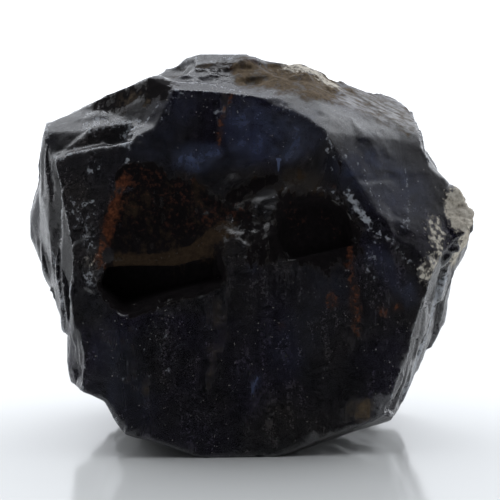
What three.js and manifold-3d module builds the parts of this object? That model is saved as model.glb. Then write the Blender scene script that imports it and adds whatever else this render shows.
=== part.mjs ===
// A rough sapphire crystal: one stone, broken out of its rock and never cut.
//
// Frame: millimetres, +Z up, standing on z = 0. The broad parting face looks along -Y.
// The stone is made the way the real one was: a block of crystal, and one break after another.
// Each break takes off what lies beyond its faces. A face is flat, where the crystal parted,
// or the inside of a ball, where it broke with the dished scar of glass.

import * as THREE from 'three';
import { mergeVertices } from 'three/addons/utils/BufferGeometryUtils.js';
import Module from 'manifold-3d';

const wasm = await Module();
wasm.setup();

const BLOCK = [23, 18, 21];   // the crystal before it broke: width, depth, height
const REACH = 60;             // size of a flat cutter, well past the block
const SAG = 0.005;            // how far the flat triangles of a dished face leave its true curve
const FACET_EDGE = 1.1;       // edge of an icosahedron's face, as a share of its radius

const OUT = new THREE.Vector3(0, 0, 1);

// A closed three.js geometry as a solid that can be cut.
function solidOf(geometry) {
  const bare = geometry.clone();
  bare.deleteAttribute('normal');
  bare.deleteAttribute('uv');
  const merged = mergeVertices(bare, 1e-5);
  return new wasm.Manifold(new wasm.Mesh({
    numProp: 3,
    vertProperties: merged.attributes.position.array,
    triVerts: new Uint32Array(merged.index.array),
  }));
}

// Turns a cutter's +Z to the way a face looks, and moves it to the point the face passes through.
function place(geometry, at, out) {
  const turn = new THREE.Quaternion().setFromUnitVectors(OUT, new THREE.Vector3(...out).normalize());
  return solidOf(geometry.applyQuaternion(turn).translate(...at));
}

// What lies beyond a flat face that passes through `at` and looks along `out`.
function flat(at, out) {
  return place(new THREE.BoxGeometry(REACH, REACH, REACH).translate(0, 0, REACH / 2), at, out);
}

// The ball of stone that a dished scar took. Its surface passes through `at` and looks along `out`.
// `size` is the ball's half width, half height and half depth, `roll` its turn about `out`.
function dish(at, out, size, roll = 0) {
  const [wide, high, deep] = size;
  const radius = Math.cbrt(wide * high * deep);
  const edge = Math.sqrt(8 * radius * SAG);
  const ball = new THREE.IcosahedronGeometry(1, Math.ceil(FACET_EDGE * radius / edge) - 1);
  ball.scale(wide, high, deep).translate(0, 0, deep).rotateZ(THREE.MathUtils.degToRad(roll));
  return place(ball, at, out);
}

// The notch under the bowl's lip, all but its ceiling: its back wall, its floor, and what closes
// it on the left, below and above, and on the right.
const notch = [
  flat([-3.7, -4.2, 7.8], [-0.2, -0.97, 0.12]),
  flat([-3.9, -5.5, 7.3], [-0.27, -0.2, 0.94]),
  flat([-5.9, -5.3, 7.35], [0.72, -0.1, 0.69]),
  flat([-6.35, -5.0, 8.3], [0.89, 0, -0.45]),
  flat([-1.2, -5.4, 8.4], [-0.88, -0.45, -0.1]),
];

// One break: each cutter is what lies beyond one of its faces, and the break is what they share.
const breaks = [
  // The front: the broad parting face, its bevel on the right, and the two that turn back on the left.
  [flat([0.5, -6.1, 4.0], [0.05, -0.985, 0.16])],
  [flat([5.8, -5.26, 7.5], [0.3, -0.94, 0.12])],
  [flat([-6.0, -5.92, 6.0], [-0.45, -0.88, 0.12])],
  [flat([-7.3, -3.14, 13.56], [-0.38, -0.87, 0.32])],
  // The left flank.
  [flat([-9.2, -1.5, 9.8], [-0.91, -0.41, 0.0])],
  [flat([-9.6, 0.5, 12.0], [-0.98, -0.05, 0.19])],
  [flat([-9.15, 0.5, 7.4], [-0.92, -0.05, -0.38]), flat([-8.5, 0, 5.2], [-0.35, 0, 0.93])],
  [flat([-8.15, 0, 4.0], [-1, -0.05, 0.03]), flat([-8.3, 0, 5.4], [0.35, 0, -0.93])],
  // The underside, and the bite out of its left corner.
  [flat([-7.3, 0, 3.2], [-0.27, 0, -0.96]), flat([-6.0, -5.3, 2.2], [-0.85, -0.15, -0.5])],
  [flat([-2.2, -6.6, 0.6], [-0.3, -0.1, -0.95])],
  [flat([1.8, -4, 0.6], [0.2, 0, -0.98])],
  [flat([1.2, -6.6, 0.6], [0.33, -0.33, -0.885])],
  [flat([6.4, -5.0, 1.8], [0.75, -0.25, -0.6])],
  // The right flank.
  [flat([8.3, -4.2, 8.6], [0.9, -0.35, -0.24])],
  [flat([7.45, -1.5, 3.2], [0.88, -0.1, -0.46])],
  [flat([8.9, 0, 6.4], [0.98, 0, -0.15]), flat([9.1, 0, 7.7], [0.3, 0, -0.95])],
  [flat([9.55, -1, 8.4], [0.85, -0.1, -0.52]), flat([9.1, 0, 7.5], [-0.3, 0, 0.95])],
  [flat([9.85, -1, 10.2], [0.97, -0.1, 0.22])],
  [flat([9.1, -0.8, 11.55], [0.79, 0, 0.61]), flat([7.8, 0, 13.4], [0, 0, -1])],
  [flat([7.7, -0.5, 13.5], [0.98, 0, 0.2]), flat([7.7, 0, 13.3], [0, 0, 1])],
  // The big right face, and the two that round it over at its top.
  [flat([5.3, -5.2, 10.4], [0.5, -0.75, 0.43])],
  [flat([6.9, -2.9, 13.2], [0.45, -0.6, 0.66])],
  [flat([6.0, -2.2, 14.45], [0.4, -0.42, 0.81])],
  // The top: the summit, and the tread and riser to its right.
  [flat([-1.5, -1.0, 16.75], [0.09, -0.31, 0.945])],
  [flat([-5.3, 1.5, 16.08], [-0.42, 0.1, 0.9])],
  [flat([5.4, 1.5, 15.55], [0.38, -0.15, 0.91])],
  [flat([3.5, 2.5, 16.75], [0.12, 0.1, 0.98])],
  [flat([-0.7, -2.6, 16.35], [0.13, -0.6, 0.79])],
  [dish([-3.2, 0.2, 16.6], [-0.3, -0.1, 0.95], [1.7, 2.4, 2.2])],
  // The upper left: the ledge and the wall behind it, and the low step along the ledge's front.
  [flat([-7.3, -2.2, 14.43], [-0.22, -0.46, 0.86]), flat([-4.6, -2.6, 15.3], [-0.5, -0.75, 0.43])],
  [flat([-7.3, -3.1, 13.56], [-0.26, -0.1, 0.96]), flat([-7.3, -2.45, 14.0], [-0.3, -0.83, 0.47]),
    flat([-5.5, -2.6, 13.7], [-1, -0.3, 0.1])],
  // The notch again, with its ceiling: level on the left, and rising on the right.
  [...notch, flat([-4.5, -5.2, 8.55], [0, 0.1, -0.99])],
  [...notch, flat([-3.3, -5.2, 8.55], [0.28, 0.1, -0.955])],
  // The big scar of the upper front, and the pocket and the bowl in it.
  [dish([-1.5, -3.15, 13.4], [0.02, -0.97, 0.24], [9.2, 9.5, 9])],
  [dish([2.7, -3.6, 10.1], [0.1, -1, 0], [2.2, 2.1, 3.4], -25), flat([2.8, -4.4, 10.4], [0.05, -0.97, 0.22]),
    flat([2.7, -5.0, 9.2], [-0.24, 0.3, 0.92])],
  [dish([-3.6, -4.25, 9.6], [-0.1, -0.93, 0.35], [5.2, 5.5, 5.0])],
  // The back: what is left of three old crystal faces, and parting steps on the middle one.
  [flat([-2.5, 6.5, 8.0], [-0.2, 0.97, 0.1])],
  [flat([5.0, 5.4, 8.0], [0.75, 0.65, -0.05])],
  [flat([-7.2, 4.5, 8.0], [-0.82, 0.55, -0.1])],
  [flat([-3, 6.2, 9], [-0.2, 0.97, 0.05]), flat([-2.6, 6, 9.4], [-0.75, 0, 0.66])],
  [flat([-6.6, 4.6, 6], [-0.75, 0.66, 0.0]), flat([-6.6, 4, 5.6], [-0.2, 0.1, -0.97])],
  // The big scars of the back, over its top edge and under its bottom one.
  [dish([1.0, 4.2, 12.8], [0.1, 0.72, 0.68], [9, 9, 10])],
  [dish([-5.9, 3.2, 13.0], [-0.6, 0.5, 0.6], [5, 7, 8])],
  [dish([1.5, 4.4, 3.0], [0.15, 0.75, -0.65], [7, 5, 7])],
  [flat([-5.8, 3.6, 2.2], [-0.6, 0.4, -0.7])],
  [dish([7.2, 2.4, 9.6], [0.85, 0.5, 0.25], [4, 6, 6])],
  // The face it stands on.
  [flat([0, 0, 0.6], [0, 0, -1])],
];

let stone = solidOf(new THREE.BoxGeometry(...BLOCK).translate(0, 0, BLOCK[2] / 2));
for (const faces of breaks) {
  stone = stone.subtract(faces.reduce((beyond, face) => beyond.intersect(face)));
}

const { numProp, vertProperties, triVerts } = stone.getMesh();
const geometry = new THREE.BufferGeometry();
geometry.setAttribute('position', new THREE.BufferAttribute(vertProperties, numProp));
geometry.setIndex(new THREE.BufferAttribute(triVerts, 1));

// Sets the stone down on z = 0, with the middle of its width and depth over the origin.
geometry.computeBoundingBox();
const { min, max } = geometry.boundingBox;
geometry.translate(-(min.x + max.x) / 2, -(min.y + max.y) / 2, -min.z);

const crystal = new THREE.Mesh(geometry, new THREE.MeshStandardMaterial({
  color: 0x12151f,
  roughness: 0.25,
  metalness: 0,
}));
crystal.name = 'sapphire_crystal';

const group = new THREE.Group();
group.add(crystal);
export default group;
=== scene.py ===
# %% [markdown]
# # A rough sapphire crystal
#
# A lump of gem rough, about 20 mm wide, as it is dug up: one crystal of corundum, nearly black from
# iron, broken on every side and never cut or polished. The frame gives its true outline. Everything
# that makes it look like stone is made here: the scars, steps and chips of its breaks, the iron
# stains and the crust that it grew in, and the way that light goes into it and comes out again.
#
# Sizes in this lesson are in millimetres, and turn into metres only where Blender takes them.

# %% Loading the frame
import itertools
import math

import bpy
import numpy as np
from mathutils import Euler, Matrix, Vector


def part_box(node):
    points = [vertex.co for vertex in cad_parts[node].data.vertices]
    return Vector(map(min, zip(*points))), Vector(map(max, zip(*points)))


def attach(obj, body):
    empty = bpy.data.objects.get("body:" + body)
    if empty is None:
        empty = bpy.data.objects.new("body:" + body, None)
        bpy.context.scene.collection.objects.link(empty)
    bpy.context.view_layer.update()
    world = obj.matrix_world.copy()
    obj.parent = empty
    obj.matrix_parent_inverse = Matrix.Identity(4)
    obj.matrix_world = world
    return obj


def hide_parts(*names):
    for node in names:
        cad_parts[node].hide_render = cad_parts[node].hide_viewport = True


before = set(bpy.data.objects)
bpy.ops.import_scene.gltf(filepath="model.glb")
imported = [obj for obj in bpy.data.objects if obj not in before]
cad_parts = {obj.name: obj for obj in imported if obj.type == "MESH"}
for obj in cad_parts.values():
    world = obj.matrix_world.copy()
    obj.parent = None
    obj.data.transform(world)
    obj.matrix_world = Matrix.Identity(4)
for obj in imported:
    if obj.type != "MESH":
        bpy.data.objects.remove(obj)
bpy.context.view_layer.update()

MM = 0.001                     # one millimetre, in metres
stone_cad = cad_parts["sapphire_crystal"]
low, high = (np.array(corner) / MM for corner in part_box("sapphire_crystal"))
print("the stone is", np.round(high - low, 2), "mm")

# %% [markdown]
# ## A fine skin
#
# A real stone has relief far finer than a CAD solid's few thousand flat faces. It could be added by
# a bump map alone, but then the outline stays ruler-straight, and glossy stone shows its relief
# mostly along ridges. So the solid is remeshed into even cells, small enough to be sculpted, and
# every break is then carved into that skin as numbers: `skin` holds the points, one to a row.

# %% The solid, remade in even cells
CELL = 0.06     # width of a cell


def remesh(mesh, cell):
    """The same surface made of even cells, which suits carving."""
    block = bpy.data.objects.new("block", mesh)
    bpy.context.scene.collection.objects.link(block)
    modifier = block.modifiers.new("Even cells", "REMESH")
    modifier.mode = "VOXEL"
    modifier.voxel_size = cell * MM
    graph = bpy.context.evaluated_depsgraph_get()
    made = bpy.data.meshes.new_from_object(block.evaluated_get(graph))
    bpy.data.objects.remove(block)
    return made


def points_of(mesh):
    """A mesh's points in millimetres, one to a row."""
    points = np.empty(len(mesh.vertices) * 3)
    mesh.vertices.foreach_get("co", points)
    return points.reshape(-1, 3) / MM


def put_points(mesh, points):
    """Moves a mesh's points."""
    mesh.vertices.foreach_set("co", (points * MM).ravel())
    mesh.update()


def facing(mesh, points):
    """Which way the skin faces at each point."""
    put_points(mesh, points)
    normals = np.empty(len(points) * 3, np.float32)
    mesh.vertex_normals.foreach_get("vector", normals)
    return normals.reshape(-1, 3).astype(float)


mesh = remesh(stone_cad.data.copy(), CELL)
skin = points_of(mesh)
print(len(skin), "points,", CELL, "mm apart")

# %% [markdown]
# ## Chance
#
# Breaks are irregular at every size. `hills` gives smooth random heights from -1 to 1, about `size`
# millimetres apart. It looks up random numbers on a grid and blends them, so the same seed gives the
# same stone each time. `flakes` works on a like grid, but each cell holds one tilted dish, and the
# lowest dish wins, so that they meet in ridges as real scars do.

# %% Random hills
CHANCES = 4096                      # how many random numbers there are to look up
KEYS = np.array((73, 1571, 317))    # turn a cell of the grid into a place among them


def hills(points, size, seed):
    """Smooth random heights from -1 to 1 at these points, about `size` mm apart."""
    chances = np.random.default_rng(seed).uniform(-1, 1, CHANCES)
    place = points / size + 0.37 * seed     # each seed has its own part of the grid, too
    corner = np.floor(place).astype(np.int64)
    share = place - corner
    share = share * share * (3 - 2 * share)
    key = corner @ KEYS
    height = np.zeros(len(points))
    for x, y, z in itertools.product((0, 1), repeat=3):
        weight = np.abs((1 - x - share[:, 0]) * (1 - y - share[:, 1]) * (1 - z - share[:, 2]))
        height += chances[(key + KEYS @ (x, y, z)) % CHANCES] * weight
    return height


def rubble(points, size, seed):
    """Hills on hills: three sizes, each half the one before."""
    halves = (1, 0.5, 0.25)
    return sum(half * hills(points, size * half, seed + k) for k, half in enumerate(halves)) / sum(halves)


# %% The facets that flakes leave
ASKEW = np.array(Euler((0.5, 0.3, 0.7)).to_matrix())     # so that no ridge runs along an axis


def flakes(points, size, seed, dished=0.5):
    """Heights that flakes about `size` mm wide have left: dishes with sharp ridges between."""
    chances = np.random.default_rng(seed).uniform(-1, 1, (CHANCES, 7)).astype(np.float32)
    place = points @ ASKEW / size + 0.61 * seed
    home = np.floor(place)
    share = (place - home).astype(np.float32) - np.float32(0.5)
    key = home.astype(np.int64) @ KEYS
    lowest = np.full(len(points), np.inf, np.float32)
    for cell in itertools.product((-1, 0, 1), repeat=3):
        luck = chances[(key + KEYS @ cell) % CHANCES]
        away = share - np.array(cell, np.float32) - 0.4 * luck[:, :3]
        height = dished * (away ** 2).sum(1) + (away * luck[:, 3:6]).sum(1) + 0.3 * luck[:, 6]
        np.minimum(lowest, height, out=lowest)
    return size * (lowest - lowest.mean())


def within(value, start, end):
    """0 before `start`, 1 past `end`, and a smooth slope between."""
    share = np.clip((value - start) / (end - start), 0, 1)
    return share * share * (3 - 2 * share)


print("hills run from", np.round(hills(skin, 2.0, 1).min(), 2), "to", np.round(hills(skin, 2.0, 1).max(), 2))

# %% [markdown]
# ## Evening out, but keeping ridges
#
# The frame's dished faces are made of small flat triangles, and gloss would show each one. Plain
# smoothing takes them away but melts the ridges too. Here a point follows a neighbour only as far as
# both face the same way, so faces turn smooth and ridges stay crisp. `melt` is the plain smoothing.
# It serves later, where a soft copy of the stone shows where its ridges are.

# %% A smoothing that keeps ridges
SAME_WAY = 0.004     # how far apart two points may face and still pull on each other
PULL = 0.6           # how far a point follows its neighbours in one round
LEAST_PULL = 1e-4    # what is left of it across a sharp ridge


def neighbours(mesh):
    """The points at the two ends of each edge."""
    pairs = np.empty(len(mesh.edges) * 2, np.int32)
    mesh.edges.foreach_get("vertices", pairs)
    return pairs.reshape(-1, 2).T


def even_out(mesh, points, rounds):
    """Smooths the skin within its faces."""
    a, b = neighbours(mesh)
    count = len(points)
    for _ in range(rounds):
        way = facing(mesh, points)
        pull = np.exp(-(1 - (way[a] * way[b]).sum(1)) / SAME_WAY) + LEAST_PULL
        total = np.bincount(a, pull, count) + np.bincount(b, pull, count)
        moved = [np.bincount(a, pull * points[b, k], count) + np.bincount(b, pull * points[a, k], count)
                 for k in range(3)]
        points = (1 - PULL) * points + PULL * np.column_stack(moved) / total[:, None]
    return points


# %% A smoothing that melts them
def melt(mesh, points, rounds):
    """A copy of the skin with everything sharp smoothed away."""
    a, b = neighbours(mesh)
    count = len(points)
    total = np.bincount(a, minlength=count) + np.bincount(b, minlength=count)
    for _ in range(rounds):
        moved = [np.bincount(a, points[b, k], count) + np.bincount(b, points[a, k], count)
                 for k in range(3)]
        points = np.column_stack(moved) / total[:, None]
    return points


skin = even_out(mesh, skin, rounds=14)
print("evened out")

# %% [markdown]
# ## Carving tools
#
# A sculptor has a few tools and many strokes, and so does this lesson. Each tool works at a place on
# the skin, found by looking at the stone from one side: `touch("front", x, z)` is where a straight
# line from the front meets it. A tool looks along `out`, the way that its cut faces.

# %% Finding a place on the skin
SIDES = {                     # the axis that each side is looked at along, and its sign
    "front": (1, -1), "back": (1, 1), "left": (0, -1), "right": (0, 1), "top": (2, 1),
}
GRIPS = (0.12, 0.2, 0.35)     # mm, how near a point has to be to the line of sight, at first and later


def touch(side, a, b):
    """The outermost point of the skin on a line of sight. a and b are its place on that view."""
    axis, sign = SIDES[side]
    across, up = [k for k in range(3) if k != axis]
    aside = np.maximum(np.abs(skin[:, across] - a), np.abs(skin[:, up] - b))
    for grip in GRIPS:
        near = np.flatnonzero(aside < grip)
        if len(near):
            return skin[near[np.argmax(sign * skin[near, axis])]].copy()
    raise ValueError(f"nothing of the stone is seen from the {side} at {a}, {b}")


def axes(out, roll=0.0):
    """Across, up and out of a cut that looks along `out`, as the columns of a matrix."""
    out = Vector(out).normalized()
    guide = Vector((0, 0, 1)) if abs(out.z) < 0.95 else Vector((0, 1, 0))     # never along `out`
    across = guide.cross(out).normalized()
    up = out.cross(across)
    turn = math.radians(roll)
    return np.array([across * math.cos(turn) + up * math.sin(turn),
                     up * math.cos(turn) - across * math.sin(turn), out]).T


# %% The cutting tool, and the scar of a flake
FADE = 0.3           # a cut fades out over this share of its reach


def carve(at, out, reach, surface, roll=0.0):
    """Takes off what stands above surface(u, v), a height over the place `at`, near that place."""
    frame_of_cut = axes(out, roll)
    away = np.linalg.norm(skin - at, axis=1)
    near = np.flatnonzero(away < reach)
    u, v, height = ((skin[near] - at) @ frame_of_cut).T
    extra = np.maximum(height - surface(u, v), 0) * within(reach - away[near], 0, FADE * reach)
    skin[near] -= extra[:, None] * frame_of_cut[:, 2]


def scar(at, out, wide, tall, deep, roll=0.0, fray=0.2, seed=1):
    """The dished scar that a flake leaves: a hollow with a crisp, uneven rim."""
    def surface(u, v):
        uneven = rubble(np.column_stack((u, v, 0 * u)) + at, 0.8 * min(wide, tall), seed)
        return deep * ((u / wide) ** 2 + (v / tall) ** 2 - 1) + fray * deep * uneven
    carve(at, out, 1.35 * max(wide, tall), surface, roll)


def cut_flat(at, out, deep, reach, fray=0.1, seed=1):
    """A flat chip off a ridge or a corner, `deep` mm under the place it starts from."""
    def surface(u, v):
        return fray * deep * hills(np.column_stack((u, v, 0 * u)) + at, 0.5, seed) - deep
    carve(at, out, reach, surface)


# %% Steps, paths and lumps
CLIFF = 0.05         # mm, how wide the slope of a step's cliff is


def step(at, out, long, tall, deep, roll=0.0, seed=1):
    """A step in a face: a frayed little cliff across it, and below the cliff a ramp back to the face."""
    frame_of_step = axes(out, roll)
    near = np.flatnonzero(((skin - at) ** 2).sum(1) < (1.1 * math.hypot(long, tall)) ** 2)
    u, v, _ = ((skin[near] - at) @ frame_of_step).T
    edge = 0.3 * tall * rubble(np.column_stack((u, 0 * u, 0 * u)) + at, 0.9, seed)
    down = edge - v
    fade = np.clip(1 - down / tall, 0, 1) * np.clip(1.6 * (1 - np.abs(u / long)), 0, 1)
    skin[near] -= (deep * fade * within(down, 0.0, CLIFF))[:, None] * frame_of_step[:, 2]


def along(path, points):
    """How far each point is from a path, a row of places. Two of them may be the same place."""
    nearest = np.full(len(points), 1e9)
    path = np.asarray(path)
    for start, end in zip(path[:-1], path[1:]):
        way = end - start
        share = np.clip(((points - start) @ way) / (way @ way + 1e-12), 0, 1)
        nearest = np.minimum(nearest, np.linalg.norm(points - start - share[:, None] * way, axis=1))
    return nearest


def lump(at, out, wide, tall, high, roll=0.0, seed=1):
    """A knob or a swelling that stands out of the skin. A negative height makes a soft hollow."""
    frame_of_lump = axes(out, roll)
    near = np.flatnonzero(((skin - at) ** 2).sum(1) < (1.5 * max(wide, tall)) ** 2)
    u, v, height = ((skin[near] - at) @ frame_of_lump).T
    rise = high * np.clip(1 - (u / wide) ** 2 - (v / tall) ** 2, 0, 1) ** 0.7
    rise = rise * (1 + 0.35 * hills(skin[near], 0.4 * min(wide, tall) + 0.1, seed))
    skin[near] += (rise * (np.abs(height) < 1.2 * max(wide, tall)))[:, None] * frame_of_lump[:, 2]


# %% [markdown]
# ## The big forms
#
# First come the forms that the eye meets first. No parted face of corundum is truly flat, so the
# whole skin gets slow waves, all but the face it stands on. Then the flakes that left each face are
# struck, one after another, as a knapper would: the steps where a crack changed level, the swellings
# where it slowed down, and the dished scars along the top.

# %% Slow waves in every face
WAVES = ((5.0, 0.05), (2.0, 0.02))        # distance apart and height
FOOT = 0.4                                # mm, how far up the foot of the stone stays flat

way = facing(mesh, skin)
on_floor = np.clip(1 - (skin[:, 2] - low[2]) / FOOT, 0, 1) * (way[:, 2] < -0.7)
for size, height in WAVES:
    skin -= ((height * (0.3 + hills(skin, size, 11)) * (1 - on_floor))[:, None]) * way
print("waves up to", sum(2 * h for _, h in WAVES), "mm deep")

# %% The upper front: the trough under it, and the swelling above the trough
lump(touch("front", 0.2, 11.4), (0.0, -0.98, 0.2), 1.8, 0.5, -0.10, roll=14, seed=24)
lump(touch("front", 0.4, 12.2), (0.0, -0.98, 0.2), 1.7, 0.4, 0.06, roll=16, seed=25)
print("struck the upper front")

# %% The bowl: a step across it, and its swollen lip
step(touch("front", -3.1, 10.5), (0.0, -0.97, 0.2), 1.7, 1.3, 0.08, roll=-24, seed=31)
lump(touch("front", -3.4, 8.8), (0.0, -0.97, 0.25), 2.6, 0.6, 0.08, roll=5, seed=32)
print("struck the bowl")

# %% The right face: the steps under it
step(touch("front", 5.8, 9.4), (0.35, -0.92, 0.2), 1.9, 0.9, 0.08, roll=-20, seed=52)
step(touch("front", 7.4, 8.0), (0.4, -0.9, 0.1), 1.2, 0.8, 0.08, roll=-40, seed=55)
print("struck the right face")

# %% The top: the notch in the summit, the saddle beside it, and the crest
scar(touch("front", -1.4, 16.2), (0.05, -0.8, 0.6), 0.9, 0.35, 0.24, roll=4, seed=61)
scar(touch("front", -2.9, 16.3), (-0.2, -0.8, 0.6), 0.7, 0.3, 0.20, roll=-10, seed=63)
scar(touch("front", 0.3, 16.1), (0.2, -0.8, 0.6), 1.0, 0.3, 0.18, roll=8, seed=65)
scar(touch("top", 1.2, -0.3), (0.25, -0.3, 0.92), 0.9, 1.5, 0.20, seed=62)
lump(touch("top", 2.8, 1.0), (0.3, -0.1, 0.95), 1.3, 0.9, 0.25, seed=67)
lump(touch("top", 2.4, -0.7), (0.2, -0.4, 0.9), 0.9, 0.5, 0.22, roll=20, seed=70)
scar(touch("top", -0.6, -0.9), (0.1, -0.7, 0.7), 0.5, 0.3, 0.16, roll=30, seed=74)
scar(touch("top", 3.9, -0.6), (0.4, -0.3, 0.85), 0.7, 0.5, 0.15, roll=-20, seed=75)
lump(touch("top", -4.3, 1.2), (-0.3, 0.0, 0.95), 0.8, 1.2, 0.18, seed=68)
scar(touch("top", -6.4, 1.2), (-0.4, 0.0, 0.9), 1.1, 1.4, 0.22, seed=66)
print("struck the top")

# %% The ledge on the left: a chip in its edge. Under it, the gouge in the face
cut_flat(touch("front", -6.0, 13.8), (-0.1, -0.95, 0.3), 0.15, 0.9, seed=64)
lump(touch("front", -6.8, 14.4), (-0.4, -0.7, 0.6), 0.7, 0.35, 0.12, seed=69)
scar(touch("front", -7.4, 9.7), (-0.40, -0.88, 0.25), 0.6, 0.3, 0.08, roll=50, seed=56)
scar(touch("front", -7.6, 4.3), (-0.85, -0.5, 0.0), 0.5, 1.3, 0.14, seed=58)
print("struck the ledge")

# %% The back and the sides
scar(touch("back", -3.2, 9.0), (-0.2, 0.95, 0.2), 2.2, 3.0, 0.30, roll=25, seed=101)
scar(touch("back", 3.0, 6.0), (0.3, 0.9, -0.2), 2.6, 1.6, 0.28, roll=-15, seed=102)
step(touch("back", 1.0, 9.5), (0.0, 1.0, 0.1), 3.2, 1.8, 0.16, roll=12, seed=103)
scar(touch("right", 1.5, 6.5), (0.95, 0.2, -0.2), 1.6, 2.2, 0.24, seed=104)
scar(touch("left", 2.0, 6.8), (-0.95, 0.3, 0.0), 1.5, 2.0, 0.22, seed=105)
print("struck the back and the sides")

# %% [markdown]
# Carving stretches some cells and squeezes others. A second remesh makes them even again, so that the
# fine work that follows finds points everywhere.

# %% Fresh cells where the carving has stretched them
put_points(mesh, skin)
mesh = remesh(mesh, CELL)
skin = points_of(mesh)
print(len(skin), "points after the big forms")

# %% [markdown]
# ## Flakes
#
# Every face carries the scars of smaller flakes, dished or nearly flat, that meet in sharp ridges.
# `flakes` gives them at one size, and here they are laid over each other at four. How strong they
# are depends on the face: a parted face is calm, and crushed stone is made of nothing else. Near a
# ridge the skin faces several ways at once, and points moved along those would tangle. So they are
# moved along the melted copy's way, which changes slowly.

# %% Ways out
def around(at, reach):
    """1 at a place, fading to 0 `reach` mm from it."""
    return within(reach - np.linalg.norm(skin - at, axis=1), 0, 0.6 * reach)


way = facing(mesh, melt(mesh, skin, rounds=8))
put_points(mesh, skin)
x, y, z = skin.T
print("every point has a way out")

# %% Which faces are calm and which are crushed
CRUSHED = (                     # side, place on that view, reach, strength
    ("front", 0.0, 9.8, 2.0, 0.8), ("front", -1.2, 11.0, 1.4, 0.7),       # between bowl and pocket
    ("front", -7.2, 9.4, 1.0, 0.4), ("front", -7.0, 7.7, 1.0, 0.7),       # left of the bowl
    ("front", -5.2, 6.4, 0.7, 0.9), ("front", -3.6, 6.8, 0.9, 0.9),       # the notch's lower rim
    ("front", -2.0, 7.3, 0.8, 0.9),
    ("front", -5.2, 14.6, 1.4, 0.3), ("front", -7.2, 14.1, 1.5, 0.5),     # the ledge
    ("front", 5.5, 13.7, 1.5, 0.35), ("front", 3.6, 14.3, 1.2, 0.30),     # the right face
    ("front", 6.2, 9.2, 1.8, 0.3), ("front", 6.4, 2.3, 1.6, 0.5),
    ("top", -0.9, -0.6, 2.6, 1.2), ("top", -3.6, 0.6, 2.6, 1.0),          # the summit
    ("top", 1.6, -0.4, 1.8, 0.6),
)
RIGHT_FACE = (0.5, -0.75, 0.43)     # the way that the big right face looks

parted = within(-way[:, 1], 0.90, 0.97) * within(9.2 - z, 0.0, 0.8)
glassy = within(-way[:, 1], 0.5, 0.7) * within(z, 8.8, 9.6) * within(6.0 - np.abs(x + 0.6), 0.0, 1.0)
broad = within(way @ RIGHT_FACE, 0.92, 0.98)
left_flank = within(-way[:, 0], 0.70, 0.85) * within(z, 2.6, 3.6)
right_flank = within(way[:, 0], 0.65, 0.82) * within(z, 0.8, 1.6)
crushed = np.max([strength * around(touch(side, a, b), reach)
                  for side, a, b, reach, strength in CRUSHED], axis=0)
crushed = np.maximum(crushed, 0.7 * within(way[:, 1], -0.2, 0.3))         # the back, all over
in_notch = around(touch("front", -3.8, 7.4), 3.2) * within(y, -5.8, -5.5) * within(8.4 - z, 0.0, 0.3)
in_pocket = around(touch("front", 2.8, 9.8), 1.9)
hollow = np.maximum(in_notch, in_pocket)
crushed *= 1 - hollow
calm = np.max((parted, glassy, broad), axis=0) * (1 - crushed)
on_floor = within(FOOT - z, 0.0, 0.3) * within(-way[:, 2], 0.6, 0.8)
print(f"{100 * np.mean(calm):.0f}% calm, {100 * np.mean(crushed):.0f}% crushed")

# %% Flakes of four sizes
FLAKES = (                      # width, height where calm, height elsewhere, more where crushed
    (3.2, 0.02, 0.05, 0.06),
    (1.3, 0.02, 0.05, 0.16),
    (0.55, 0.01, 0.04, 0.26),
    (0.25, 0.01, 0.03, 0.22),
)

for width, least, usual, more in FLAKES:
    strong = (least * calm + usual * (1 - calm) + more * crushed) * (1 - on_floor) * (1 - hollow)
    skin += (strong * flakes(skin, width, int(100 * width)))[:, None] * way
print("flaked")

# %% [markdown]
# The flanks broke along the crystal's own length, into long narrow splinters, and the front face has
# growth lines in the same direction. Both are the same flakes, drawn out upwards: the height counts
# for less when the grid is looked up.

# %% Long narrow flakes along the flanks, and thin steps down the front face
long_ones = flakes(skin * (1, 1, 0.25), 0.8, 71, dished=0.1)
skin += (0.34 * long_ones * np.maximum(left_flank, 0.7 * right_flank))[:, None] * way
fine_ones = flakes(skin * (1, 1, 0.08), 0.5, 73, dished=0.1)
skin += (0.015 * fine_ones * parted)[:, None] * way
print("stepped")

# %% [markdown]
# ## Chipped ridges
#
# A ridge is where a stone knocks against its neighbours, so it has lost chips all along. A ridge is
# where the skin stands above its melted copy. Chips are struck flat across it by chance, and their
# numbers grow as their size shrinks.

# %% Striking the chips
CHIPS = ((8, 0.9, 0.07), (36, 0.5, 0.04), (200, 0.25, 0.025))     # how many, reach, depth
BLUNT = 0.02                     # mm, ridges that stand out less than this aren't struck

chance = np.random.default_rng(7)
sharp = ((skin - melt(mesh, skin, rounds=25)) * way).sum(1)
odds = np.clip(sharp - BLUNT, 0, None) * (skin[:, 2] > 0.6) * (1 - hollow)
struck = 0
for many, reach, deep in CHIPS:
    for site in chance.choice(len(skin), many, replace=False, p=odds / odds.sum()):
        out = way[site] + chance.normal(0, 0.2, 3)
        cut_flat(skin[site].copy(), out, deep * chance.uniform(0.4, 1.5), reach, fray=0.3, seed=100 + struck)
        struck += 1
skin = even_out(mesh, skin, rounds=3)
print(struck, "chips")

# %% [markdown]
# ## Crust and grain
#
# A little of the rock that the crystal grew in still sticks to its right shoulder, as a row of knobs.
# They are swellings of the skin, with more grain than the rest. Real grain is finer than a cell, so
# what is drawn here is its coarse end, and the material's bump adds more.

# %% The crust on the right shoulder
KNOBS = ((-2.2, 10.9), (-2.6, 10.0), (-1.6, 9.6), (-3.2, 9.2), (-2.2, 8.6), (-0.8, 10.2), (-3.4, 8.2))
SUNK = (0.35, 0, 0)                        # how deep a knob sits, so that it doesn't pass the outline

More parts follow.
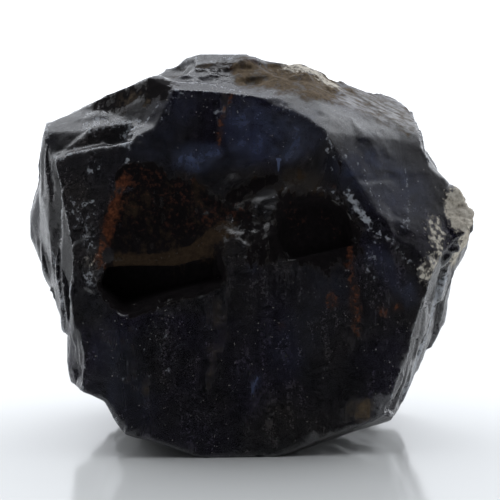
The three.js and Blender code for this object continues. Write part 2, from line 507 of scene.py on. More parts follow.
for k, (a, b) in enumerate(KNOBS):
    lump(touch("right", a, b) - SUNK, (0.9, -0.4, 0.1), 0.7, 0.5, 0.34, roll=37 * k, seed=200 + k)
shoulder = around(touch("right", -2.4, 9.6), 2.6)
print(len(KNOBS), "knobs")

# %% Fine grain in the skin
GRAIN = ((0.5, 0.010), (0.22, 0.006))      # distance apart, height

for size, height in GRAIN:
    skin += (height * (1 + 2 * shoulder) * rubble(skin, size, int(900 * size)))[:, None] * way
print("grained")

# %% [markdown]
# ## A mesh of a sensible size
#
# Carving needed even cells, but a smooth face doesn't. Decimation takes points away where the skin is
# nearly flat and keeps them on the ridges, so the stone keeps its crispness at a fraction of the size.

# %% Thinning the mesh
MOST_TRIANGLES = 190_000
MARGIN = 0.001                             # mm, between the skin and the frame's box

skin = np.clip(skin, low + MARGIN, high - MARGIN)
put_points(mesh, skin)
mesh.calc_loop_triangles()
crystal = bpy.data.objects.new("sapphire", mesh)
bpy.context.scene.collection.objects.link(crystal)
thin = crystal.modifiers.new("Fewer flat cells", "DECIMATE")
thin.ratio = min(1.0, MOST_TRIANGLES / len(mesh.loop_triangles))
graph = bpy.context.evaluated_depsgraph_get()
mesh = bpy.data.meshes.new_from_object(crystal.evaluated_get(graph))
crystal.modifiers.clear()
crystal.data = mesh
mesh.shade_smooth()
skin = np.clip(points_of(mesh), low, high)     # thinning can push a point out of the box
way = facing(mesh, skin)
mesh.calc_loop_triangles()
print(len(mesh.loop_triangles), "triangles")

# %% [markdown]
# ## Where each finish goes
#
# A finish is painted on the skin as a number from 0 to 1 at each point, under a name that the
# material reads. An image could do the same, but it would need a flattened copy of the skin, and a
# number at each point follows the carving by itself. `stain` is a brush stroke along a path, with an
# edge that frays: its strength, its reach in mm and a seed come first, then the path, and last the
# side that it is seen from, where that isn't the front.

# %% The brush, the spray and the dots
THINNEST = 1e-3      # mm, the least reach of a stroke, however much its edge frays


def stain(strength, reach, seed, *places, side="front", fray=0.6, edge=1.6):
    """How much each point is covered by a brush stroke through places seen from one side."""
    path = [touch(side, a, b) for a, b in places]
    if len(path) == 1:
        path = path * 2
    wobble = reach * (1 + fray * rubble(skin, 1.2 * reach, seed))
    return strength * np.clip(edge * (1 - along(path, skin) / np.maximum(wobble, THINNEST)), 0, 1)


def spray(strength, reach, seed, *places, fray=0.4, edge=1.6):
    """Like a stroke, but depth doesn't count, so that it fills a hollow as far as it's seen."""
    path = [(a, 0, b) for a, b in places] * (2 if len(places) == 1 else 1)
    wobble = reach * (1 + fray * rubble(skin, 0.9 * reach, seed))
    cover = np.clip(edge * (1 - along(path, skin * (1, 0, 1)) / np.maximum(wobble, THINNEST)), 0, 1)
    return strength * cover * within(-way[:, 1], -0.4, 0.1)


def dots(strength, size, seed, at, spread, count):
    """Small dots strewn around a place on the front."""
    chance = np.random.default_rng(seed)
    places = np.array(at) + spread * np.clip(chance.normal(0, 1, (count, 2)), -2, 2)
    return np.max([stain(strength, size * chance.uniform(0.6, 1.5), seed + k, place, edge=3)
                   for k, place in enumerate(places)], axis=0)


def paint(name, *strokes):
    """Keeps the strongest of the strokes at each point of the skin, for the material."""
    amount = np.clip(np.max(strokes, axis=0), 0, 1)
    layer = mesh.attributes.new(name, "FLOAT", "POINT")
    layer.data.foreach_set("value", amount.astype(np.float32))
    print(f"{name}: {100 * float(np.mean(amount)):.1f}% of the skin")
    return amount


# %% [markdown]
# ### Rust
#
# Water has carried iron into the cracks and left it there as red-brown rust. So it runs in streaks:
# down the left rim of the bowl, down a crack in the front face, and from a notch in the summit. It
# dusts the bowl and the pocket thinly.

# %% Rust: iron that has oxidised in cracks and hollows
paint(
    "rust",
    stain(1.0, 0.42, 301, (-5.5, 11.6), (-5.9, 10.3), (-6.6, 8.5), fray=0.8, edge=1.8),
    stain(0.35, 0.75, 302, (-5.2, 11.9), (-4.2, 11.7)),
    stain(0.9, 0.20, 303, (-0.9, 15.4), (-1.1, 14.7), (-1.5, 13.2), fray=0.9),
    stain(0.78, 0.22, 304, (4.4, 8.9), (4.5, 5.4), fray=1.2),
    stain(0.25, 0.30, 305, (-1.6, 7.1), (-1.5, 5.2), (-1.7, 3.4), fray=1.2),
    stain(0.82, 0.48, 306, (3.7, 6.7), fray=0.8, edge=2.5),
    stain(1.0, 0.38, 307, (6.5, 6.4), fray=0.8),
    stain(0.85, 0.36, 308, (5.9, 6.1), fray=0.8, edge=2.2),
    stain(0.82, 0.28, 320, (4.7, 7.2), (4.7, 5.3), fray=0.9, edge=2),
    stain(0.7, 0.40, 329, (1.4, 5.6), fray=0.9),
    stain(0.4, 0.60, 309, (-1.8, 10.2), (-0.6, 10.4)),
    stain(0.3, 0.90, 312, (-3.8, 10.9), (-2.8, 11.6)),
    stain(0.7, 0.25, 313, (3.6, 11.6)),
    stain(0.4, 0.20, 315, (1.8, 10.9), (1.6, 10.5)),
    stain(0.35, 0.30, 316, (4.0, 9.3)),
    stain(0.9, 0.60, 310, (-0.4, -0.9), (0.2, -0.5), side="top"),
    stain(0.8, 0.18, 314, (-7.9, 13.0)),
    spray(0.20, 2.0, 317, (-5.0, 10.8), (-2.2, 10.6), fray=0.8),
    spray(0.20, 0.55, 318, (1.5, 10.3), (2.2, 9.7), fray=0.9),
    spray(0.15, 0.40, 319, (3.3, 10.2), (3.6, 9.6), fray=0.9),
    stain(0.8, 0.50, 411, (2.4, 12.2), (1.8, 10.2), side="back", fray=0.9),
    stain(0.7, 0.40, 412, (1.6, 8.4), (2.4, 6.0), side="left", fray=0.9),
)

# %% [markdown]
# ### Crust and ochre
#
# Crust is pale rock that still holds on, and ochre is a skin of brown clay and weathered stone. Both
# lie where the stone was never broken: on the shoulder, over the slope right of the summit, and in
# patches on the sides.

# %% Crust: what is left of the rock it grew in
crust = paint(
    "crust",
    stain(1.0, 1.40, 321, (-2.2, 10.4), (-2.8, 9.4), (-2.8, 8.4), side="right", edge=2.5),
    stain(0.8, 1.00, 323, (2.2, 0.9), (3.6, 0.9), side="top"),
    stain(0.8, 1.00, 416, (4.4, 10.4), (4.0, 9.2), side="back", fray=0.9),
    stain(0.7, 0.80, 417, (2.4, 4.2), side="right", fray=0.9),
    stain(0.3, 0.40, 327, (-3.9, 6.1), fray=1.0),
    stain(0.35, 0.60, 328, (-7.1, 8.3), fray=1.0),
    stain(0.6, 0.70, 330, (8.3, 9.8), (8.4, 8.6), (7.9, 7.8), fray=0.9),
)

# %% Ochre: a brown weathered skin on the slope right of the summit
ochre = paint(
    "ochre",
    spray(1.0, 0.80, 391, (-0.2, 16.3), (1.8, 15.9), (3.6, 15.5), edge=2),
    spray(0.62, 0.80, 394, (3.6, 15.5), (5.5, 14.8), (7.0, 14.0), edge=2),
    stain(0.66, 1.00, 395, (1.2, 0.4), (4.0, 1.1), (6.6, 1.3), side="top"),
    stain(0.85, 0.70, 322, (4.4, 2.1), (5.0, 1.8), fray=1.0),
    stain(0.8, 1.60, 413, (-1.0, 4.6), (1.6, 5.4), side="back", fray=0.8),
    stain(0.7, 1.20, 414, (-0.5, 5.5), (0.5, 8.0), side="right", fray=0.8),
    stain(0.7, 1.50, 415, (0.5, 11.5), (1.5, 9.5), side="left", fray=0.8),
    stain(0.40, 1.00, 326, (-5.9, 5.2), (-4.6, 3.2), fray=1.0),
    stain(0.45, 1.00, 392, (-3.6, -0.2), (-1.6, -0.4), (0.4, -0.6), side="top"),
    stain(0.5, 0.40, 393, (-1.0, 15.3), (-1.1, 14.5)),
    stain(0.50, 0.80, 396, (-1.5, 6.9), (-1.2, 5.2), (-1.7, 3.2), fray=0.9, edge=1.0),
    stain(0.5, 1.10, 397, (-5.2, 15.0), fray=0.9),
)

# %% [markdown]
# ### Bruises and painted highlights
#
# Crushed corundum is white, as crushed glass is. It fills the scratches, and it lies as dots where a grain
# of sand hit. The same pale paint also makes painted highlights: along the ridges that face the top, the
# sides and the back, where the light falls, and as glints and bright rims on the right face, the ledge and
# the flanks. A ridge is found as before: there the skin stands above its melted copy.

# %% Painted ridge highlights: ridges made pale at the top, on the flanks and behind, where the light falls on them
SHARPEST = 0.06                 # mm, how high the sharpest ridges stand above the copy

proud = ((skin - melt(mesh, skin, rounds=8)) * way).sum(1)
x, y, z = skin.T
# the sides that face the tent's light: pale paint on their ridges is a painted highlight, not wear
lit_sides = np.max((within(z, 11.8, 12.6), within(np.abs(way[:, 0]), 0.45, 0.65), within(way[:, 1], 0, 0.3)),
              axis=0)
ridge_highlight = within(proud, 0.3 * SHARPEST, SHARPEST) * lit_sides * (0.6 + 0.4 * rubble(skin, 0.5, 360))
print(f"{100 * np.mean(ridge_highlight > 0.1):.1f}% of the skin is a worn ridge")

# %% Bruises and painted highlights: crushed white where the stone was knocked, and pale paint for glints and bright rims
# most of these are painted highlights: the glint on the right face, the bright strips of the left flank, the
# ledge's band and the right flank's bright rim; the thin lines on the right face are cracks
KNOCKS_AND_HIGHLIGHTS = (                      # strength, reach, seed, places on the front
    (0.9, 0.26, 361, (4.3, 11.3), (4.7, 10.6), (5.2, 10.0)),
    (0.5, 0.22, 362, (6.9, 10.1), (6.8, 9.8)),
    (0.6, 0.09, 363, (5.1, 12.0), (5.4, 11.2), (5.2, 10.8)),
    (0.5, 0.09, 364, (5.9, 12.0), (5.7, 11.0), (5.8, 10.4)),
    (0.5, 0.09, 365, (6.9, 12.2), (7.1, 11.0), (7.0, 9.7)),
    (0.6, 0.13, 366, (4.3, 9.9), (5.6, 9.5), (6.2, 9.1), (7.0, 8.3)),
    (0.6, 0.08, 367, (5.2, 8.9), (5.1, 8.0), (5.4, 7.6)),
    (0.7, 0.14, 419, (-7.7, 13.1), (-7.0, 12.0)),
    (0.7, 0.14, 420, (-7.3, 13.2), (-6.7, 12.3)),
    (0.6, 0.13, 421, (-8.0, 10.9), (-7.5, 10.6), (-6.9, 10.9)),
    (0.6, 0.13, 422, (-8.0, 10.4), (-7.5, 10.1), (-6.9, 10.3)),
    (0.4, 0.45, 368, (-7.7, 10.2), (-7.3, 9.6), (-6.9, 9.1)),
    (0.5, 0.40, 369, (-7.2, 7.9), (-7.0, 7.5)),
    (0.5, 0.12, 372, (3.0, 11.5), (3.6, 11.3), (4.1, 10.9)),
    (0.6, 0.10, 373, (1.0, 11.1), (1.5, 11.5)),
    (0.6, 0.08, 374, (-5.5, 13.3), (-4.6, 14.3), (-3.4, 15.8)),
    (0.7, 0.12, 427, (-3.2, 16.0), (-1.8, 15.9), (-0.4, 15.6)),
    (0.55, 0.50, 382, (-7.4, 14.0), (-6.2, 14.3), (-5.0, 14.2)),
    (0.90, 0.50, 425, (8.8, 7.0), (7.7, 4.0), (7.0, 2.2)),
    (0.50, 0.30, 426, (-8.8, 8.4), (-8.3, 5.6)),
)

# white bruises and dust dots, with painted highlights along lit ridges and painted glints
paint(
    "bruise_and_highlight",
    *(stain(strength, reach, seed, *path, fray=0.9) for strength, reach, seed, *path in KNOCKS_AND_HIGHLIGHTS),
    stain(0.8, 0.30, 370, (-5.6, 13.7), (-5.3, 14.0)),
    stain(0.4, 0.30, 371, (-6.6, 14.6)),
    stain(0.6, 0.30, 428, (-3.2, -0.6), (-2.2, -0.2), (-1.0, 0.0), side="top", fray=0.9),
    0.9 * ridge_highlight,
    dots(0.7, 0.09, 375, (3.6, 12.9), 0.35, 14),
    dots(0.6, 0.08, 376, (4.7, 12.4), 0.30, 8),
    dots(0.45, 0.10, 377, (0.2, 9.6), 0.70, 26),
    dots(0.5, 0.08, 378, (5.2, 8.6), 0.60, 16),
    dots(0.4, 0.12, 379, (-4.5, 4.6), 0.80, 16),
    dots(0.7, 0.09, 380, (-1.4, 14.7), 0.15, 4),
)

# %% [markdown]
# ### Silk, olive and painted shade
#
# Silk is a cloud of needles of rutile just under the surface, far too fine to draw, that scatters blue
# light, and a few of its small bright spots are painted glints. Olive is a thin smooth film of clay, such as
# in the bowl and above the pocket. The last finish is painted shade: a dull near-black in the notch, the
# pocket, the bowl and on faces that look dark, where shade falls, with a little black earth on the back.

# %% Silk and glints: fine needles of another mineral that scatter blue light, and painted glints from cracks inside
# blue haze of silk; the small bright strokes (the teardrop low on the front and the blue spots higher up)
# are painted glints
paint(
    "silk_and_glints",
    stain(0.8, 0.90, 331, (-2.5, 12.7), (-1.6, 13.0), fray=1.0),
    stain(1.0, 0.24, 337, (-2.5, 12.6)),
    stain(0.75, 1.90, 332, (-0.6, 14.0), (1.4, 13.3), fray=0.9),
    stain(0.3, 1.50, 338, (-4.2, 13.6), (-3.0, 14.8), fray=0.9),
    stain(0.5, 0.70, 333, (5.6, 8.7), (7.1, 6.7)),
    stain(1.0, 0.15, 334, (0.35, 3.5), (0.2, 2.9), fray=0.6, edge=2),
    stain(0.8, 0.24, 335, (0.0, 8.2), fray=0.9),
    stain(1.0, 0.16, 336, (1.3, 12.7), (1.2, 12.2)),
    stain(0.3, 1.50, 339, (-6.0, 4.4), (-5.4, 2.6), fray=0.9),
    stain(0.25, 1.60, 340, (1.8, 4.6), (3.4, 7.2)),
    stain(0.8, 2.20, 423, (-3.0, 8.0), (0.5, 9.5), side="back", fray=0.8),
    stain(0.7, 1.50, 424, (3.4, 6.2), side="back", fray=0.8),
    stain(0.5, 2.20, 346, (5.0, 12.4), (6.8, 11.2), fray=0.3),
)

# %% Olive: where the stone is brown-green, and smooth
paint(
    "olive",
    stain(0.9, 0.95, 341, (-5.2, 8.4), (-3.5, 8.3), (-1.8, 9.0)),
    stain(1.0, 1.15, 347, (-5.5, 8.3), (-4.0, 8.2), (-2.4, 8.8), (-1.2, 9.8), fray=0.35, edge=1.4),
    stain(0.9, 0.90, 342, (1.6, 12.0), (2.8, 11.8)),
    stain(0.7, 0.40, 343, (-1.0, 11.9), (0.3, 12.2), (1.1, 12.5)),
    spray(0.6, 2.10, 344, (-4.6, 9.9), (-2.8, 9.9), edge=3),
    stain(0.4, 0.90, 345, (-0.4, 4.8), (0.0, 7.0), fray=0.9),
)

# %% Painted shade: a dull near-black in the hollows and on dark faces, where shade falls. It's dull, so it hides their bright edges too
# painted shade in the notch, the pocket, the bowl, the summit notch and the dark wall on the upper left;
# only the stroke on the back stands for black earth
paint(
    "shade_and_dirt",
    spray(1.0, 1.05, 381, (-5.6, 7.4), (-4.4, 7.3), (-3.2, 7.6), (-1.9, 8.0), edge=5, fray=0.25),
    spray(1.0, 2.30, 382, (2.7, 9.6), (3.2, 9.5), edge=2),
    spray(0.8, 0.45, 383, (-0.8, 11.0), (0.1, 11.4), (1.0, 11.8)),
    spray(0.5, 0.45, 384, (3.9, 12.4)),
    spray(0.7, 0.24, 385, (-2.4, 16.4), (-0.7, 16.5), edge=2),
    spray(0.9, 2.10, 386, (-4.7, 9.9), (-2.6, 10.0), edge=3),
    spray(0.9, 0.70, 387, (-5.3, 11.9), (-4.2, 12.0), edge=3),
    spray(0.7, 1.30, 388, (-0.2, 10.4), (0.4, 8.9), fray=0.8),
    spray(0.6, 0.90, 389, (2.2, 11.8), edge=2),
    spray(0.85, 0.38, 398, (-5.7, 6.5), (-5.0, 6.2), (-4.2, 6.5), (-3.0, 6.9)),
    stain(0.72, 1.10, 399, (-6.7, 15.1), (-5.6, 15.4), (-3.9, 15.9), fray=0.8),
    stain(0.9, 1.30, 418, (-2.2, 2.4), (1.0, 2.6), side="back"),
    stain(0.3, 0.80, 400, (-3.4, 16.2), (-0.6, 16.1), fray=0.9),
)

# %% [markdown]
# ### Frost
#
# A dished scar is as smooth as glass. A parted face is finely broken and looks like satin, and so do
# the flanks and the back. Which way the skin faces tells one from the other.

# %% Frost: how finely broken the surface is
uneven = 0.8 + 0.2 * rubble(skin, 1.5, 351)
big_scar = within(z, 8.6, 9.4) * within(x, -6.2, -5.6)          # the glassy part of the front
paint(
    "frost",
    0.40 * within(-way[:, 1], 0.80, 0.92) * uneven * (1 - 0.7 * big_scar),
    0.45 * within(np.abs(way[:, 0]), 0.6, 0.8) * uneven,
    0.22 * within(way[:, 2], 0.5, 0.7) * uneven,
    0.28 * within(way @ RIGHT_FACE, 0.92, 0.98) * uneven,
    0.35 * within(way[:, 1], 0.0, 0.4) * uneven,
    crust, ochre,
)

# %% [markdown]
# ## The material
#
# The stone is sapphire, which is corundum, broken and never polished. Its index of refraction is about
# 1.77, so it mirrors 8% of what faces it and far more at a grazing angle. It's clear stone, but iron
# and titanium colour it so deeply that light is swallowed within a few millimetres. Plain absorption
# in the volume does that: thin edges glow blue-grey and the body is black.
#
# So the material is built in two layers. The stone itself is one Principled shader that lets light in,
# clouded where it's flawed, crushed or full of silk, and where highlights and glints are painted on. What
# sticks to the stone, and the painted shade in its hollows, is another, dull one, and a Mix Shader chooses
# between them at each point.

# %% Helpers for materials
def colour(code):
    """An sRGB hex colour as linear red, green, blue and alpha."""
    parts = [int(code[k:k + 2], 16) / 255 for k in (1, 3, 5)]
    return [c / 12.92 if c <= 0.04045 else ((c + 0.055) / 1.055) ** 2.4 for c in parts] + [1.0]


def node(tree, kind, inputs=None, output=0, **settings):
    """Adds a node with its settings, and gives one of its outputs. An input is a value or an output.

    In a MapRange, 0 is the value, 1 and 2 are the ends of its range, and 3 and 4 what they turn
    into: 0 and 1 if left out. In a colour Mix, 0 is the share, and 6 and 7 are the two colours.
    """
    made = tree.nodes.new("ShaderNode" + kind)
    for name, value in settings.items():
        setattr(made, name, value)
    for name, value in (inputs or {}).items():
        if isinstance(value, bpy.types.NodeSocket):
            tree.links.new(value, made.inputs[name])
        else:
            made.inputs[name].default_value = value
    return made.outputs[output] if len(made.outputs) else made


def per(size):
    """The scale that gives a pattern this size, in mm."""
    return 1 / (size * MM)


# %% [markdown]
# ### Patterns
#
# Four noises serve the whole stone: zones and tints a few millimetres wide, where it grew in slightly
# different colours, grain of 0.2 mm, and streaks drawn out along the crystal's length. Corundum's own
# flaws and dust are mostly finer than 0.05 mm. They are drawn 0.10 to 0.16 mm wide, so that they show.

# %% The patterns in the stone
sapphire = bpy.data.materials.new("rough_sapphire_broken")
sapphire.use_nodes = True
tree = sapphire.node_tree
where = node(tree, "TexCoord", output="Object")
upright = node(tree, "Mapping", {"Vector": where, "Scale": (1.0, 1.0, 0.1)})
zones = node(tree, "TexNoise", {"Vector": where, "Scale": per(2.6), "Detail": 3.0, "Roughness": 0.6})
tints = node(tree, "TexNoise", {"Vector": where, "Scale": per(3.7), "Detail": 2.0, "W": 5.0},
             noise_dimensions="4D")
grain = node(tree, "TexNoise", {"Vector": where, "Scale": per(0.2), "Detail": 3.0, "Roughness": 0.7})
streaks = node(tree, "TexNoise", {"Vector": upright, "Scale": per(0.45), "Detail": 4.0, "Roughness": 0.65})
amount = {name: node(tree, "Attribute", attribute_name=name, output="Fac")
          for name in ("rust", "crust", "ochre", "bruise_and_highlight", "silk_and_glints", "olive", "shade_and_dirt", "frost")}
print("patterns:", len(tree.nodes), "nodes")

# %% Specks: dust and mineral grains, in loose clusters
dust = node(tree, "TexNoise", {"Vector": where, "Scale": per(0.10), "Detail": 1.0, "Roughness": 0.5})
crowd = node(tree, "MapRange", {0: tints, 1: 0.35, 2: 0.70, 3: 0.82, 4: 0.73})
speck = node(tree, "Math", {0: dust, 1: crowd}, operation="GREATER_THAN")
print("with specks:", len(tree.nodes), "nodes")

# %% Mottling: the stone scatters a little light wherever it's flawed, in streaks and in flecks
flaws = node(tree, "TexNoise", {"Vector": where, "Scale": per(0.16), "Detail": 4.0, "Roughness": 0.8})
flecks = node(tree, "MapRange", {0: flaws, 1: 0.44, 2: 0.62})
bands = node(tree, "MapRange", {0: streaks, 1: 0.38, 2: 0.66, 3: 0.15, 4: 1.0})
cloudy = node(tree, "MapRange", {0: zones, 1: 0.38, 2: 0.62, 3: 0.5, 4: 1.0})
flawed = node(tree, "Math", {0: flecks, 1: bands}, operation="MULTIPLY")
flawed = node(tree, "Math", {0: flawed, 1: cloudy}, operation="MULTIPLY")
frosted = node(tree, "MapRange", {0: amount["frost"], 2: 0.4, 3: 0.4, 4: 1.0})
flawed = node(tree, "Math", {0: flawed, 1: frosted}, operation="MULTIPLY")
print("with flaws:", len(tree.nodes), "nodes")

# %% [markdown]
# ### The stone
#
# Where nothing clouds it, the shader lets 92% of the light in, and its base colour only tints that.
# Where something does, that something shows in its own colour: wisps of silk and painted blue glints, a film
# of olive, crushed white and painted highlights, specks. A veil is how much each of them covers, and the
# strongest one wins.

# %% Colour: the tint of the stone, and what clouds it
# the silk's blue also paints the small glints
LAYERS = (("silk_and_glints", 0.9, "#6a7eb0"), ("olive", 0.85, "#4c4232"))     # finish, strength, colour

wisps = node(tree, "TexNoise", {"Vector": where, "Scale": per(0.9), "Detail": 5.0, "Roughness": 0.7,
                                "Distortion": 0.8})
wispy = node(tree, "MapRange", {0: wisps, 1: 0.30, 2: 0.70, 3: 0.15, 4: 1.0})
for name, _, _ in LAYERS:
    strong = node(tree, "MapRange", {0: amount[name], 1: 0.85, 2: 0.95, 3: wispy, 4: 1.0})
    amount[name] = node(tree, "Math", {0: strong, 1: amount[name]}, operation="MULTIPLY")

body = node(tree, "Mix", {0: zones, 6: colour("#3c405a"), 7: colour("#6e655e")}, 2, data_type="RGBA")
violet = node(tree, "MapRange", {0: tints, 1: 0.48, 2: 0.60})
body = node(tree, "Mix", {0: violet, 6: body, 7: colour("#504a66")}, 2, data_type="RGBA")
for name, strength, code in LAYERS:
    share = node(tree, "Math", {0: amount[name], 1: strength}, operation="MULTIPLY")
    body = node(tree, "Mix", {0: share, 6: body, 7: colour(code)}, 2, data_type="RGBA")
grainy = node(tree, "MapRange", {0: grain, 1: 0.38, 2: 0.62, 3: 0.2, 4: 1.0})
# the white of crushed stone, which also paints the highlights and glints
highlight_and_bruise = node(tree, "Math", {0: grainy, 1: amount["bruise_and_highlight"]})
crushed_white_and_highlight = node(tree, "MapRange", {0: highlight_and_bruise, 1: 0.9, 2: 1.7})
body = node(tree, "Mix", {0: crushed_white_and_highlight, 6: body, 7: colour("#d3d8e0")}, 2, data_type="RGBA")
body = node(tree, "Mix", {0: speck, 6: body, 7: colour("#b9b5ac")}, 2, data_type="RGBA")
shader = tree.nodes["Principled BSDF"]
tree.links.new(body, shader.inputs["Base Color"])
print("with the stone's colour:", len(tree.nodes), "nodes")

# %% How much of the light goes in
CLEAR = 0.92                    # share let in by a clean face
VEILS = (                       # what clouds the stone, and how much of the light it keeps out
    (flawed, 0.9), (crushed_white_and_highlight, 0.9), (amount["silk_and_glints"], 0.7), (amount["olive"], 0.4), (speck, 0.9),
)

cover = None
for veil, strength in VEILS:
    share = node(tree, "Math", {0: veil, 1: strength}, operation="MULTIPLY")
    cover = node(tree, "Math", {0: cover, 1: share}, operation="MAXIMUM") if cover else share
clear = node(tree, "Math", {0: cover, 1: -CLEAR, 2: CLEAR}, operation="MULTIPLY_ADD", use_clamp=True)
tree.links.new(clear, shader.inputs["Transmission Weight"])
shader.inputs["IOR"].default_value = 1.77
print(f"a clean face lets in {100 * CLEAR:.0f}% of the light")

# %% Roughness: glassy in the scars, satin on parted faces, dull where it is covered
satin = node(tree, "MapRange", {0: streaks, 1: 0.30, 2: 0.70, 3: 0.35, 4: 0.55})
rough = node(tree, "Math", {0: amount["frost"], 1: satin}, operation="MULTIPLY")
rough = node(tree, "Math", {0: rough, 1: 0.10}, operation="ADD")
dull = node(tree, "Math", {0: cover, 1: 0.7}, operation="MULTIPLY")
rough = node(tree, "Math", {0: rough, 1: dull}, operation="MAXIMUM")
tree.links.new(rough, shader.inputs["Roughness"])
print("with roughness:", len(tree.nodes), "nodes")

# %% Relief too fine for the mesh
fine = node(tree, "TexNoise", {"Vector": where, "Scale": per(0.25), "Detail": 4.0, "Roughness": 0.65})
deeper = node(tree, "MapRange", {0: amount["frost"], 2: 0.5, 3: 0.35, 4: 1.0})
relief = node(tree, "Math", {0: fine, 1: deeper}, operation="MULTIPLY")
relief = node(tree, "Math", {0: streaks, 1: 0.1, 2: relief}, operation="MULTIPLY_ADD")
bump = node(tree, "Bump", {"Strength": 0.5, "Distance": 0.04 * MM, "Height": relief})
tree.links.new(bump, shader.inputs["Normal"])
print("with relief:", len(tree.nodes), "nodes")

# %% [markdown]
# ### What sticks to it, and the painted shade
#
# The painted shade (with a little earth), clay, rust and crust are dull. Painting them on the stone's base
# colour alone would leave the stone's own gloss on top, and every rim of a hollow would shine through the
# shade. So they are a second shader, rough and with little gloss. A coat's share is its amount plus a
# pattern, past a threshold of 1: a strong coat has few gaps, and a weak one stays only where its pattern is
# thick.

# %% The dull coats on top: painted shade with a little earth, iron rust, ochre and crust
patchy = node(tree, "MapRange", {0: grain, 1: 0.35, 2: 0.65, 3: 0.3, 4: 1.0})
clumps = node(tree, "TexNoise", {"Vector": where, "Scale": per(0.6), "Detail": 5.0, "Roughness": 0.75})
clumps = node(tree, "Math", {0: clumps, 1: streaks})
clumpy = node(tree, "MapRange", {0: clumps, 1: 0.80, 2: 1.25, 3: 0.3, 4: 1.0})
THIN = 0.42                     # how much of a flaw a thin film of dust covers
COATS = (                       # finish, pattern, softness, the two colours it varies between
    # near-black: the painted shade in the hollows
    ("shade_and_dirt", clumpy, 0.3, "#0b0a0b", "#1c1719"),
    ("olive", clumpy, 0.5, "#291f17", "#443628"),
    ("rust", patchy, 1.0, "#32180f", "#7c4830"),
    ("ochre", clumpy, 0.6, "#33291f", "#7c6c58"),
    ("crust", patchy, 0.4, "#a89c88", "#ece5d8"),
)

coated = node(tree, "Math", {0: flawed, 1: THIN}, operation="MULTIPLY")
coat = node(tree, "Mix", {0: zones, 6: colour("#3a3838"), 7: colour("#4a4032")}, 2, data_type="RGBA")
for name, pattern, soft, dark, light in COATS:
    stuck = node(tree, "Math", {0: amount[name], 1: pattern})
    share = node(tree, "MapRange", {0: stuck, 1: 1.0, 2: 1.0 + soft})
    tone = node(tree, "Mix", {0: patchy, 6: colour(dark), 7: colour(light)}, 2, data_type="RGBA")
    coat = node(tree, "Mix", {0: share, 6: coat, 7: tone}, 2, data_type="RGBA")
    if name != "olive":         # a film: it tints the coats that are there, and is none by itself
        coated = node(tree, "Math", {0: coated, 1: share}, operation="MAXIMUM")
dull_coats_and_shade = node(tree, "BsdfPrincipled", {"Base Color": coat, "Roughness": 0.8, "Specular IOR Level": 0.1,
                                      "Normal": bump})
surface = node(tree, "MixShader", {0: coated, 1: shader.outputs[0], 2: dull_coats_and_shade})
tree.links.new(surface, tree.nodes["Material Output"].inputs["Surface"])
print(len(COATS), "coats")

# %% [markdown]
# ### Depth
#
# The volume has only absorption. At a density of 1400 per metre, light that crosses 0.5 mm of stone
# keeps a bit over half of its strength. After 5 mm next to none is left, and most of that is blue.

# %% Deep blue absorption
absorb = node(tree, "VolumeAbsorption", {"Color": colour("#5a6890"), "Density": 1400.0})
tree.links.new(absorb, tree.nodes["Material Output"].inputs["Volume"])
mesh.materials.clear()
mesh.materials.append(sapphire)
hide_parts("sapphire_crystal")
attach(crystal, "root")
print("the material has", len(tree.nodes), "nodes")

# %% [markdown]
# ## Floor, light and camera
#
# A dark glossy stone has no colour of its own to show, so it is drawn by what it mirrors. It stands
# in a light tent that is bright above and behind it and dark in front. Faces that look up or aside
# catch the light at a slant, and those that look at the viewer stay black.

# %% The floor: pale card with a glossy coating, which mirrors the foot of the stone
FLOOR_SIZE = 4.0                           # m

bpy.ops.mesh.primitive_plane_add(size=FLOOR_SIZE)
floor = bpy.context.object
floor.name = "floor"
card = bpy.data.materials.new("glossy_pale_card")
card.use_nodes = True
sheen = card.node_tree.nodes["Principled BSDF"]
sheen.inputs["Base Color"].default_value = colour("#eeefed")
sheen.inputs["Roughness"].default_value = 0.12
sheen.inputs["IOR"].default_value = 1.55
floor.data.materials.append(card)
print("the floor is", FLOOR_SIZE, "m wide")

# %% [markdown]
# In a studio, glare is kept off a dark thing with a flag, a card covered in black felt. This one lies
# on the floor in front, out of the camera's view, where the front faces would mirror the bright floor.
# Only gloss sees it, and from below it's clear, so the floor under it mirrors the tent as elsewhere.

# %% The black flag
FLAG_STARTS = -15.0                        # mm, y of its edge nearest the stone
FLAG_LIFT = 0.05                           # mm, how high it lies above the floor
FLAG_SIZE = 0.6                            # m

middle = (0, FLAG_STARTS * MM - FLAG_SIZE / 2, FLAG_LIFT * MM)
bpy.ops.mesh.primitive_plane_add(size=FLAG_SIZE, location=middle)
flag = bpy.context.object
flag.name = "flag"
felt = bpy.data.materials.new("black_felt")
felt.use_nodes = True
black = felt.node_tree.nodes["Principled BSDF"]
black.inputs["Base Color"].default_value = colour("#0a0a0c")
black.inputs["Roughness"].default_value = 1.0
under = node(felt.node_tree, "NewGeometry").node.outputs["Backfacing"]
hidden = node(felt.node_tree, "BsdfTransparent")
one_sided = node(felt.node_tree, "MixShader", {0: under, 1: black.outputs[0], 2: hidden})
felt.node_tree.links.new(one_sided, felt.node_tree.nodes["Material Output"].inputs["Surface"])
flag.data.materials.append(felt)
flag.visible_camera = flag.visible_diffuse = flag.visible_shadow = flag.visible_transmission = False
print("the flag starts", -FLAG_STARTS, "mm in front of the stone's middle")

# %% [markdown]
# The tent is the world itself. Its brightness depends on how far behind and above a direction points,
# and a colour ramp turns that into light: next to none in front, full behind and above. What the
# camera sees behind the stone is a plain white backdrop.

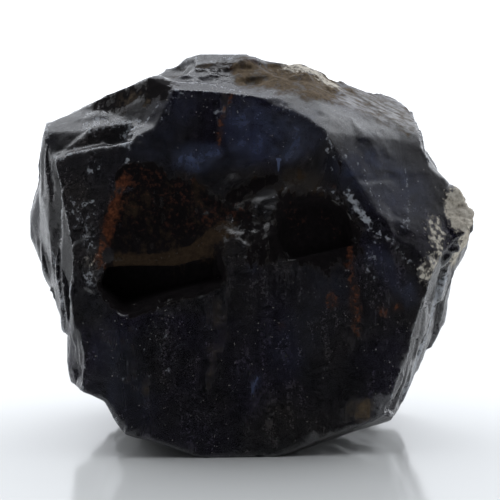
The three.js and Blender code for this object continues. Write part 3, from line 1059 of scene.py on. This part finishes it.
# %% The light
LIGHT = (                                  # place on the ramp, from front to back, and brightness
    (0.0, 0.004), (0.18, 0.007), (0.41, 0.018), (0.50, 0.08), (0.59, 0.25), (0.68, 0.5),
    (0.77, 0.92), (0.85, 1.0), (0.90, 1.0), (0.945, 0.95), (0.975, 0.50), (1.0, 0.50),
)
COOL = (0.92, 0.95, 1.0)                   # tint of the tent
RISE = 0.6                                 # how much being above counts, beside being behind

world = bpy.data.worlds.new("light_tent")
bpy.context.scene.world = world
world.use_nodes = True
sky = world.node_tree
sky.nodes.clear()
toward = node(sky, "SeparateXYZ", {0: node(sky, "TexCoord", output="Generated")}).node.outputs
behind = node(sky, "Math", {0: toward["Z"], 1: RISE, 2: toward["Y"]}, operation="MULTIPLY_ADD")
ramp = node(sky, "ValToRGB", {0: node(sky, "MapRange", {0: behind, 1: -1.0, 2: 1.2})}).node
while len(ramp.color_ramp.elements) < len(LIGHT):
    ramp.color_ramp.elements.new(0.5)
for mark, (place, bright) in zip(ramp.color_ramp.elements, LIGHT):
    mark.position = place
    mark.color = [bright * part for part in COOL] + [1]
tent = node(sky, "Background", {"Color": ramp.outputs[0], "Strength": 2.0})
backdrop = node(sky, "Background", {"Color": colour("#fcfcfe"), "Strength": 1.0})
seen = node(sky, "LightPath", output="Is Camera Ray")
node(sky, "OutputWorld", {"Surface": node(sky, "MixShader", {0: seen, 1: tent, 2: backdrop})})
print("the tent has", len(LIGHT), "marks on its ramp")

# %% [markdown]
# A long lens shows the stone with little perspective. It stands as far away as lets the stone fill
# most of the view.

# %% The camera
FIELD = 22.88                              # mm, width of the view at the stone
TILT = math.radians(8)                     # how far it looks down
TARGET = np.array((0, -0.57, 8.1))         # mm, the place it looks at

lens = bpy.data.cameras.new("camera")
lens.lens = 150
lens.sensor_width = 36
lens.clip_start = 0.001
camera = bpy.data.objects.new("camera", lens)
bpy.context.scene.collection.objects.link(camera)
away = Vector((0, -math.cos(TILT), math.sin(TILT)))
distance = FIELD * MM * lens.lens / lens.sensor_width
camera.location = Vector(TARGET * MM) + away * distance
camera.rotation_euler = (-away).to_track_quat("-Z", "Y").to_euler()
bpy.context.scene.camera = camera
bpy.context.scene.view_settings.view_transform = "Standard"
print("the camera is", round(distance / MM, 1), "mm away")
